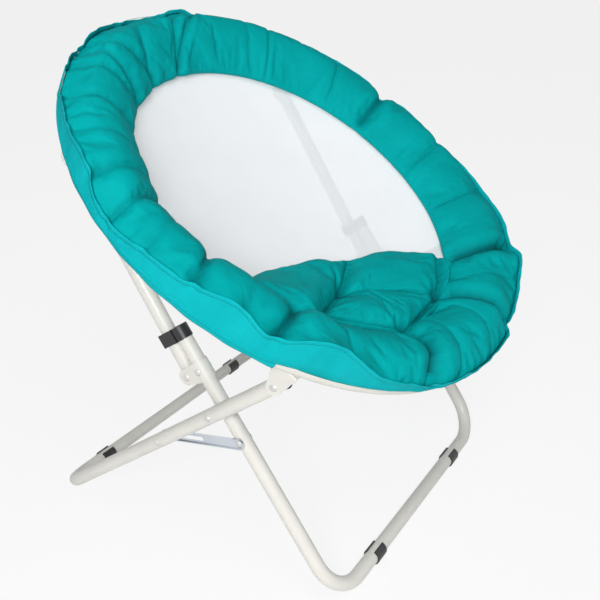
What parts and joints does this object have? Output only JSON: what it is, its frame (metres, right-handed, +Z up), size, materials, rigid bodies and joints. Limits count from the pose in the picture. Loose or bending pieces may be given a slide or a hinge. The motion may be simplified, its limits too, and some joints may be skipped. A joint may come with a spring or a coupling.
{
  "type": "folding saucer chair",
  "caption": "Folding saucer chair with a padded round rim, a dished mesh seat with a stuffed pad, and crossed tube legs on locking knee brackets.",
  "frame": {"origin": "on the floor, at the middle of the open chair's box", "axes": "+Z up, +X towards the sitter's left, +Y towards the back of the chair"},
  "size_m": [0.7681, 0.6531, 0.7632],
  "materials": {
    "frame_paint": "satin powder coat",
    "rivet_steel": "satin",
    "zinc_plate": "bright zinc",
    "black_plastic": "fine grain",
    "white_nylon": "smooth",
    "padded_cloth": "smooth woven polyester",
    "band_cloth": "smooth woven polyester",
    "mesh_cloth": "sheer net"
  },
  "bodies": {
    "ring": {"ring_tube_front": "frame_paint", "ring_tube_rear": "frame_paint", "ring_joiner_sleeves": "rivet_steel", "front_bracket_left": "frame_paint", "front_bracket_right": "frame_paint", "front_pivot_rivets": "rivet_steel", "back_bracket_left": "frame_paint", "back_bracket_right": "frame_paint", "back_pivot_rivets": "rivet_steel", "ring_bumper": "black_plastic", "rim_sleeve": "band_cloth", "rim_band": "band_cloth", "rim_padding": "padded_cloth", "rim_welt": "padded_cloth", "mesh_bowl": "mesh_cloth", "seat_pad": "padded_cloth"},
    "rear_leg": {"rear_leg_frame": "frame_paint", "rear_leg_plugs": "black_plastic", "rear_foot_clips": "black_plastic", "scissor_rivet_heads": "rivet_steel", "link_pin_rivets": "rivet_steel"},
    "back_supports": {"back_support_left": "frame_paint", "back_support_right": "frame_paint", "back_support_plugs": "black_plastic"},
    "front_leg": {"front_leg_frame": "frame_paint", "front_foot_clips": "black_plastic", "saddle_cap_left": "black_plastic", "saddle_cap_right": "black_plastic", "knee_bracket_left": "frame_paint", "knee_bracket_right": "frame_paint", "knee_fixing_rivets": "rivet_steel", "knee_pivot_rivets": "rivet_steel", "scissor_spacers": "white_nylon", "scissor_rivet_tails": "rivet_steel", "link_washers": "white_nylon", "link_pivot_rivets": "rivet_steel"},
    "links": {"link_left": "zinc_plate", "link_right": "zinc_plate"}
  },
  "joints": [
    {"name": "rear_leg_fold", "type": "hinge", "parent": "ring", "child": "rear_leg", "pos_m": [0, -0.13379, 0.36584], "axis": [1, 0, 0], "range_deg": [0, 68.07]},
    {"name": "back_support_fold", "type": "hinge", "parent": "ring", "child": "back_supports", "pos_m": [0, 0.22347, 0.59802], "axis": [1, 0, 0], "range_deg": [-26.89, 0]},
    {"name": "front_leg_fold", "type": "hinge", "parent": "back_supports", "child": "front_leg", "pos_m": [0, 0.03357, 0.3114], "axis": [1, 0, 0], "range_deg": [0, 182.5]},
    {"name": "link_fold", "type": "hinge", "parent": "front_leg", "child": "links", "pos_m": [0, -0.05557, 0.23218], "axis": [1, 0, 0], "range_deg": [-111.98, 0]}
  ],
  "couplings": [
    {"joint": "back_support_fold", "follows": "rear_leg_fold", "ratio": -0.39493},
    {"joint": "front_leg_fold", "follows": "rear_leg_fold", "ratio": 2.6809},
    {"joint": "link_fold", "follows": "rear_leg_fold", "ratio": -1.6451}
  ]
}
